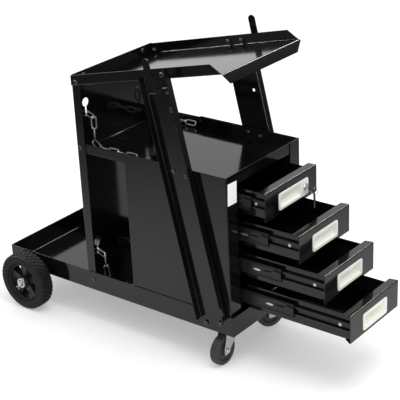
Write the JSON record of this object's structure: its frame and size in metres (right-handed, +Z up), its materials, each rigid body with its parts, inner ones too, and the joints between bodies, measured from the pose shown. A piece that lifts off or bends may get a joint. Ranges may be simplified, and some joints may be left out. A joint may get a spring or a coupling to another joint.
{
  "type": "welding cart",
  "caption": "Narrow steel welding cart with a tilted machine tray, a shelf, a drawer cabinet, cable hooks, a chained gas bottle bay, fixed rear wheels and front swivel casters.",
  "frame": {"origin": "on the floor under the centre of the bounding box, with the drawers as far open as in the picture", "axes": "+Z up, drawers open towards -Y, gas bottle bay and large wheels towards +Y, +X to the right of someone facing +Y"},
  "size_m": [0.423, 1.0218, 0.7603],
  "materials": {
    "black_paint": "gloss black powder coat",
    "zinc": "bright zinc plate",
    "black_slide": "satin black electrocoat",
    "tyre": "matt black rubber with a block tread",
    "black_plastic": "satin black moulded plastic",
    "caster_rubber": "satin black rubber",
    "pull_plastic": "cream moulded plastic, low gloss"
  },
  "bodies": {
    "frame": {"base_tray": "black_paint", "back_panel": "black_paint", "shelf_tray": "black_paint", "left_side_panel": "black_paint", "right_side_panel": "black_paint", "cabinet_rear_panel": "black_paint", "left_runner_panel": "black_paint", "right_runner_panel": "black_paint", "left_post": "black_paint", "right_post": "black_paint", "left_cable_hook": "black_paint", "right_cable_hook": "black_paint", "top_tray": "black_paint", "rear_axle": "zinc", "left_axle_clip": "zinc", "right_axle_clip": "zinc", "left_caster_plate": "zinc", "right_caster_plate": "zinc", "lower_chain": "zinc", "upper_chain": "zinc"},
    "drawer_1": {"drawer_1_box": "black_paint", "drawer_1_front": "black_paint", "drawer_1_pull": "pull_plastic", "drawer_1_left_inner_rail": "black_slide", "drawer_1_right_inner_rail": "black_slide", "lock_barrel": "zinc"},
    "runner_1": {"drawer_1_left_middle_rail": "black_slide", "drawer_1_right_middle_rail": "black_slide"},
    "drawer_2": {"drawer_2_box": "black_paint", "drawer_2_front": "black_paint", "drawer_2_pull": "pull_plastic", "drawer_2_left_inner_rail": "black_slide", "drawer_2_right_inner_rail": "black_slide"},
    "runner_2": {"drawer_2_left_middle_rail": "black_slide", "drawer_2_right_middle_rail": "black_slide"},
    "drawer_3": {"drawer_3_box": "black_paint", "drawer_3_front": "black_paint", "drawer_3_pull": "pull_plastic", "drawer_3_left_inner_rail": "black_slide", "drawer_3_right_inner_rail": "black_slide"},
    "runner_3": {"drawer_3_left_middle_rail": "black_slide", "drawer_3_right_middle_rail": "black_slide"},
    "drawer_4": {"drawer_4_box": "black_paint", "drawer_4_front": "black_paint", "drawer_4_pull": "pull_plastic", "drawer_4_left_inner_rail": "black_slide", "drawer_4_right_inner_rail": "black_slide"},
    "runner_4": {"drawer_4_left_middle_rail": "black_slide", "drawer_4_right_middle_rail": "black_slide"},
    "lock": {"lock_plug": "zinc", "lock_key": "black_plastic"},
    "left_wheel": {"left_tyre": "tyre", "left_rim": "black_plastic"},
    "left_caster": {"left_caster_fork": "zinc"},
    "left_caster_roll": {"left_caster_wheel": "caster_rubber"},
    "right_wheel": {"right_tyre": "tyre", "right_rim": "black_plastic"},
    "right_caster": {"right_caster_fork": "zinc"},
    "right_caster_roll": {"right_caster_wheel": "caster_rubber"}
  },
  "joints": [
    {"name": "drawer_1_slide", "type": "slide", "parent": "frame", "child": "drawer_1", "axis": [0, -1, 0], "range_m": [-0.075, 0.225]},
    {"name": "runner_1_slide", "type": "slide", "parent": "frame", "child": "runner_1", "axis": [0, -1, 0], "range_m": [-0.0375, 0.1125]},
    {"name": "drawer_2_slide", "type": "slide", "parent": "frame", "child": "drawer_2", "axis": [0, -1, 0], "range_m": [-0.165, 0.135]},
    {"name": "runner_2_slide", "type": "slide", "parent": "frame", "child": "runner_2", "axis": [0, -1, 0], "range_m": [-0.0825, 0.0675]},
    {"name": "drawer_3_slide", "type": "slide", "parent": "frame", "child": "drawer_3", "axis": [0, -1, 0], "range_m": [-0.231, 0.069]},
    {"name": "runner_3_slide", "type": "slide", "parent": "frame", "child": "runner_3", "axis": [0, -1, 0], "range_m": [-0.1155, 0.0345]},
    {"name": "drawer_4_slide", "type": "slide", "parent": "frame", "child": "drawer_4", "axis": [0, -1, 0], "range_m": [-0.297, 0.003]},
    {"name": "runner_4_slide", "type": "slide", "parent": "frame", "child": "runner_4", "axis": [0, -1, 0], "range_m": [-0.1485, 0.0015]},
    {"name": "lock_turn", "type": "hinge", "parent": "drawer_1", "child": "lock", "pos_m": [0.056, -0.2871, 0.4195], "axis": [0, -1, 0], "range_deg": [0, 90]},
    {"name": "left_wheel_spin", "type": "hinge", "parent": "frame", "child": "left_wheel", "pos_m": [-0.1815, 0.4289, 0.077], "axis": [1, 0, 0], "continuous": true},
    {"name": "left_caster_swivel", "type": "hinge", "parent": "frame", "child": "left_caster", "pos_m": [-0.105, -0.1701, 0.08], "axis": [0, 0, 1], "continuous": true},
    {"name": "left_caster_spin", "type": "hinge", "parent": "left_caster", "child": "left_caster_roll", "pos_m": [-0.131, -0.1701, 0.038], "axis": [0, 1, 0], "continuous": true},
    {"name": "right_wheel_spin", "type": "hinge", "parent": "frame", "child": "right_wheel", "pos_m": [0.1815, 0.4289, 0.077], "axis": [1, 0, 0], "continuous": true},
    {"name": "right_caster_swivel", "type": "hinge", "parent": "frame", "child": "right_caster", "pos_m": [0.105, -0.1701, 0.08], "axis": [0, 0, 1], "continuous": true},
    {"name": "right_caster_spin", "type": "hinge", "parent": "right_caster", "child": "right_caster_roll", "pos_m": [0.08149, -0.15901, 0.038], "axis": [0.4267, 0.9044, 0], "continuous": true}
  ],
  "couplings": [
    {"joint": "runner_1_slide", "follows": "drawer_1_slide", "ratio": 0.5},
    {"joint": "runner_2_slide", "follows": "drawer_2_slide", "ratio": 0.5},
    {"joint": "runner_3_slide", "follows": "drawer_3_slide", "ratio": 0.5},
    {"joint": "runner_4_slide", "follows": "drawer_4_slide", "ratio": 0.5}
  ]
}
